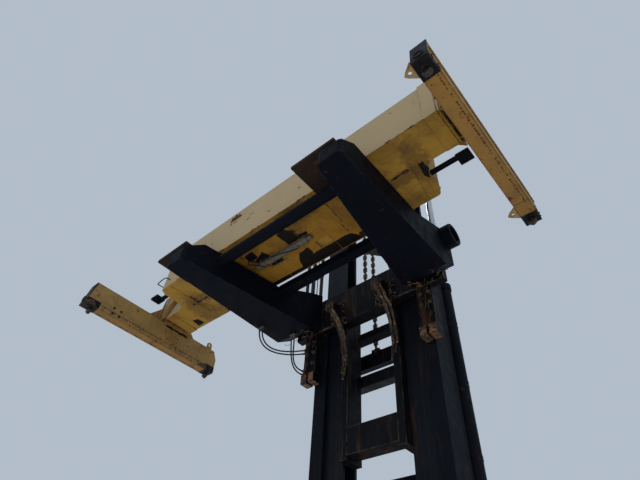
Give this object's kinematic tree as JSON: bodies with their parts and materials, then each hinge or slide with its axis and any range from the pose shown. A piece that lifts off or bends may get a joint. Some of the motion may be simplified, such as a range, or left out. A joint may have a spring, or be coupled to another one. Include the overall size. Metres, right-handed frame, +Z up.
{
  "type": "container spreader with carriage on a lift mast",
  "caption": "Yellow telescopic container spreader on two black carriage arms, raised on the black two-stage lift mast of a top-lift truck.",
  "frame": {"origin": "middle of the mast's foot pin bores", "axes": "+X along the foot pin, to the right for a driver who looks at the spreader; +Y from the spreader back to the mast and the truck; +Z up"},
  "size_m": [6.051, 3.6293, 8.7741],
  "materials": {
    "yellow_paint": "worn paint, dusty",
    "black_paint": "worn satin paint",
    "bare_steel": "greasy, dark",
    "rod_chrome": "polished",
    "grey_paint": "satin",
    "rusty_steel": "rusty, matte",
    "hose_rubber": "matte"
  },
  "bodies": {
    "outer_mast": {"outer_rail_left": "black_paint", "outer_rail_right": "black_paint", "outer_ties": "black_paint", "mast_brackets": "black_paint", "outer_rollers": "bare_steel", "lift_barrels": "black_paint"},
    "inner_mast": {"inner_rail_left": "black_paint", "inner_rail_right": "black_paint", "inner_ties": "black_paint", "crosshead": "black_paint", "inner_rollers": "bare_steel", "lift_rods": "rod_chrome", "lift_chains": "bare_steel", "mast_hoses": "hose_rubber"},
    "sheave_left": {"sheave_left": "bare_steel"},
    "sheave_right": {"sheave_right": "bare_steel"},
    "carriage": {"side_plate_left": "black_paint", "side_plate_right": "black_paint", "carriage_beams": "black_paint", "carriage_rollers": "bare_steel", "shank_left": "black_paint", "shank_right": "black_paint", "arm_left": "black_paint", "arm_right": "black_paint", "arm_pins": "black_paint", "cross_tube": "black_paint", "rear_member": "black_paint", "shift_rod": "rod_chrome", "arm_hoses": "hose_rubber"},
    "spreader": {"main_frame": "yellow_paint", "bearing_shoes": "rusty_steel", "shift_barrel": "black_paint", "underside_cylinder": "grey_paint", "valve_block": "black_paint", "marker_bars": "black_paint"},
    "left_beam": {"beam_left": "yellow_paint", "end_beam_left": "yellow_paint", "corner_blocks_left": "black_paint"},
    "right_beam": {"beam_right": "yellow_paint", "end_beam_right": "yellow_paint", "corner_blocks_right": "black_paint"},
    "lock_left_front": {"lock_left_front": "bare_steel"},
    "lock_left_rear": {"lock_left_rear": "bare_steel"},
    "lock_right_front": {"lock_right_front": "bare_steel"},
    "lock_right_rear": {"lock_right_rear": "bare_steel"}
  },
  "joints": [
    {"name": "mast_lift", "type": "slide", "parent": "outer_mast", "child": "inner_mast", "axis": [0, 0, 1], "range_m": [-1.7, 1.7]},
    {"name": "sheave_left_turn", "type": "hinge", "parent": "inner_mast", "child": "sheave_left", "pos_m": [-0.25, -0.18, 8.29], "axis": [1, 0, 0], "range_deg": [-820, 820]},
    {"name": "sheave_right_turn", "type": "hinge", "parent": "inner_mast", "child": "sheave_right", "pos_m": [0.25, -0.18, 8.29], "axis": [1, 0, 0], "range_deg": [-820, 820]},
    {"name": "carriage_lift", "type": "slide", "parent": "inner_mast", "child": "carriage", "axis": [0, 0, 1], "range_m": [-1.7, 1.7]},
    {"name": "side_shift", "type": "slide", "parent": "carriage", "child": "spreader", "axis": [1, 0, 0], "range_m": [-0.08, 0.72]},
    {"name": "right_extend", "type": "slide", "parent": "spreader", "child": "right_beam", "axis": [1, 0, 0], "range_m": [0, 3.066]},
    {"name": "left_extend", "type": "slide", "parent": "spreader", "child": "left_beam", "axis": [-1, 0, 0], "range_m": [0, 3.066]},
    {"name": "lock_left_front_turn", "type": "hinge", "parent": "left_beam", "child": "lock_left_front", "pos_m": [-3.2465, -3.2395, 4.95], "axis": [0, 0, 1], "range_deg": [0, 90]},
    {"name": "lock_left_rear_turn", "type": "hinge", "parent": "left_beam", "child": "lock_left_rear", "pos_m": [-3.2465, -0.9805, 4.95], "axis": [0, 0, 1], "range_deg": [0, 90]},
    {"name": "lock_right_front_turn", "type": "hinge", "parent": "right_beam", "child": "lock_right_front", "pos_m": [2.6065, -3.2395, 4.95], "axis": [0, 0, 1], "range_deg": [0, 90]},
    {"name": "lock_right_rear_turn", "type": "hinge", "parent": "right_beam", "child": "lock_right_rear", "pos_m": [2.6065, -0.9805, 4.95], "axis": [0, 0, 1], "range_deg": [0, 90]}
  ],
  "couplings": [
    {"joint": "carriage_lift", "follows": "mast_lift", "ratio": 1},
    {"joint": "sheave_left_turn", "follows": "mast_lift", "rad_per_m": -8.3333},
    {"joint": "sheave_right_turn", "follows": "mast_lift", "rad_per_m": -8.3333},
    {"joint": "left_extend", "follows": "right_extend", "ratio": 1},
    {"joint": "lock_left_rear_turn", "follows": "lock_left_front_turn", "ratio": 1},
    {"joint": "lock_right_front_turn", "follows": "lock_left_front_turn", "ratio": 1},
    {"joint": "lock_right_rear_turn", "follows": "lock_left_front_turn", "ratio": 1}
  ]
}
